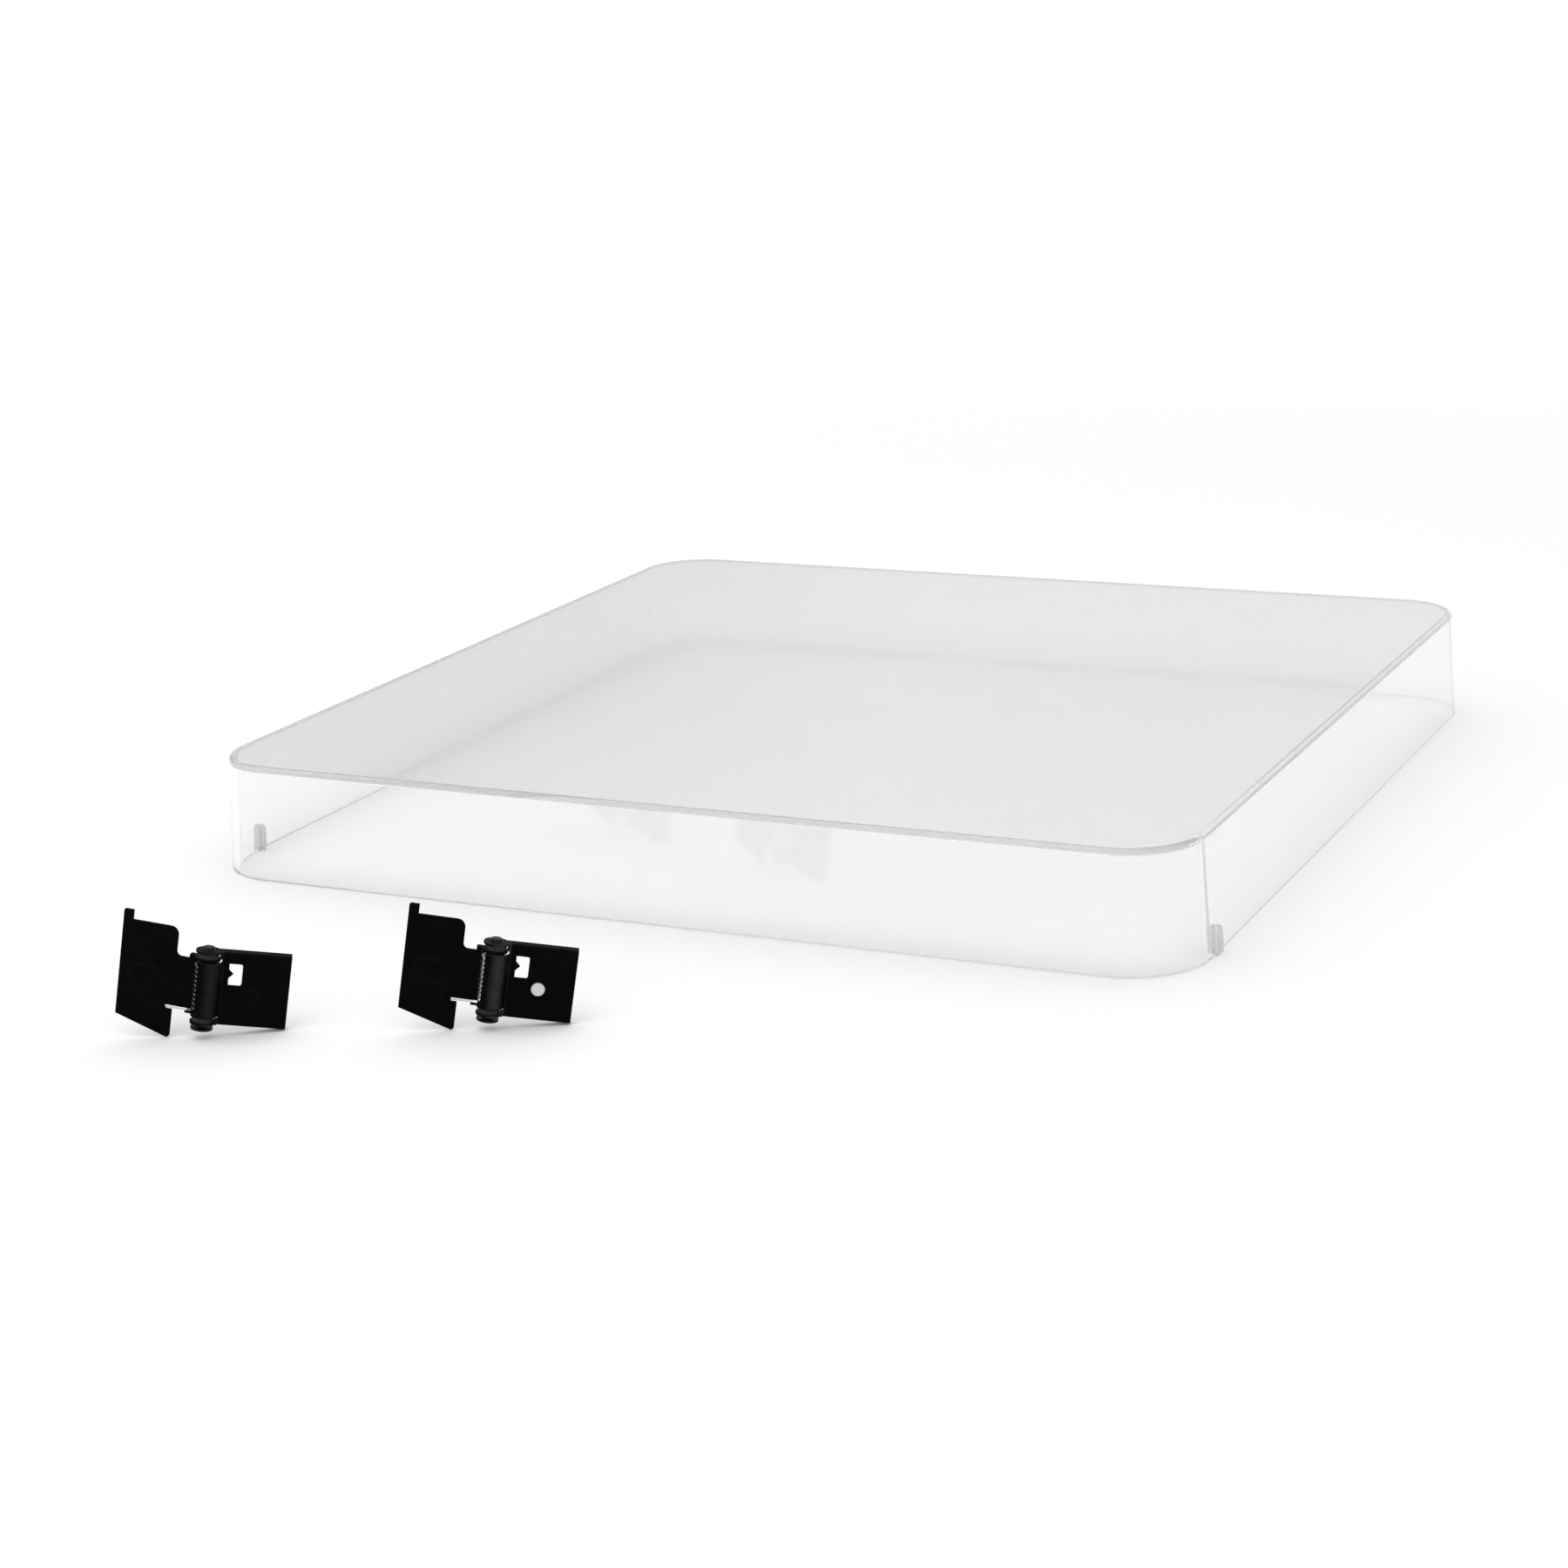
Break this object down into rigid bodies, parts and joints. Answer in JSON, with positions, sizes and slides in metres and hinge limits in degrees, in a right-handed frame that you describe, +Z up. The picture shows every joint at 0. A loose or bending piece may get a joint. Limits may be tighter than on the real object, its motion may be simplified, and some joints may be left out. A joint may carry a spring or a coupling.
{
  "type": "dust cover with spring hinges",
  "caption": "Clear square dust cover for a record deck, open below, with clip-on bumpers, and a pair of sprung plug-in steel hinges that stand loose in front of it.",
  "frame": {"origin": "middle of the cover's open rim, on the surface that the cover and hinges stand on", "axes": "+Z up through the cover's top, +Y towards the cover's back, +X towards its right side"},
  "size_m": [0.4324, 0.6029, 0.0483],
  "materials": {
    "clear_acrylic": "polished clear acrylic sheet, 3 mm, edges slightly grey",
    "clear_bumper": "clear soft plastic, slightly cloudy",
    "hinge_steel": "satin black finish on pressed steel sheet",
    "pin_steel": "blackened steel, satin, rubbed bright on its ends",
    "spring_steel": "bright drawn spring wire",
    "nylon": "black nylon"
  },
  "bodies": {
    "cover": {"cover_shell": "clear_acrylic", "left_bumper": "clear_bumper", "right_bumper": "clear_bumper"},
    "hinge_1_base": {"hinge_1_base_leaf": "hinge_steel", "hinge_1_pin": "pin_steel", "hinge_1_spring": "spring_steel", "hinge_1_spring_guide": "nylon", "hinge_1_upper_washer": "nylon", "hinge_1_lower_washer": "nylon", "hinge_1_push_nut": "pin_steel"},
    "hinge_1_lid_side": {"hinge_1_lid_leaf": "hinge_steel"},
    "hinge_2_base": {"hinge_2_base_leaf": "hinge_steel", "hinge_2_pin": "pin_steel", "hinge_2_spring": "spring_steel", "hinge_2_spring_guide": "nylon", "hinge_2_upper_washer": "nylon", "hinge_2_lower_washer": "nylon", "hinge_2_push_nut": "pin_steel"},
    "hinge_2_lid_side": {"hinge_2_lid_leaf": "hinge_steel"}
  },
  "joints": [
    {"name": "hinge_1_lift", "type": "slide", "parent": "cover", "child": "hinge_1_base", "axis": [0, 0, 1], "range_m": [0, 0.15]},
    {"name": "hinge_1_turn", "type": "hinge", "parent": "hinge_1_base", "child": "hinge_1_lid_side", "pos_m": [-0.0958, -0.3765, 0.01877], "axis": [-0.1472, -0.1038, -0.9837], "range_deg": [-17.5, 50.5], "stiffness_Nm_per_rad": 0.08, "deforming": ["hinge_1_spring"]},
    {"name": "hinge_2_lift", "type": "slide", "parent": "cover", "child": "hinge_2_base", "axis": [0, 0, 1], "range_m": [0, 0.15]},
    {"name": "hinge_2_turn", "type": "hinge", "parent": "hinge_2_base", "child": "hinge_2_lid_side", "pos_m": [-0.0021, -0.3347, 0.01871], "axis": [-0.1551, -0.087, -0.9841], "range_deg": [-4.3, 63.7], "stiffness_Nm_per_rad": 0.08, "deforming": ["hinge_2_spring"]}
  ]
}
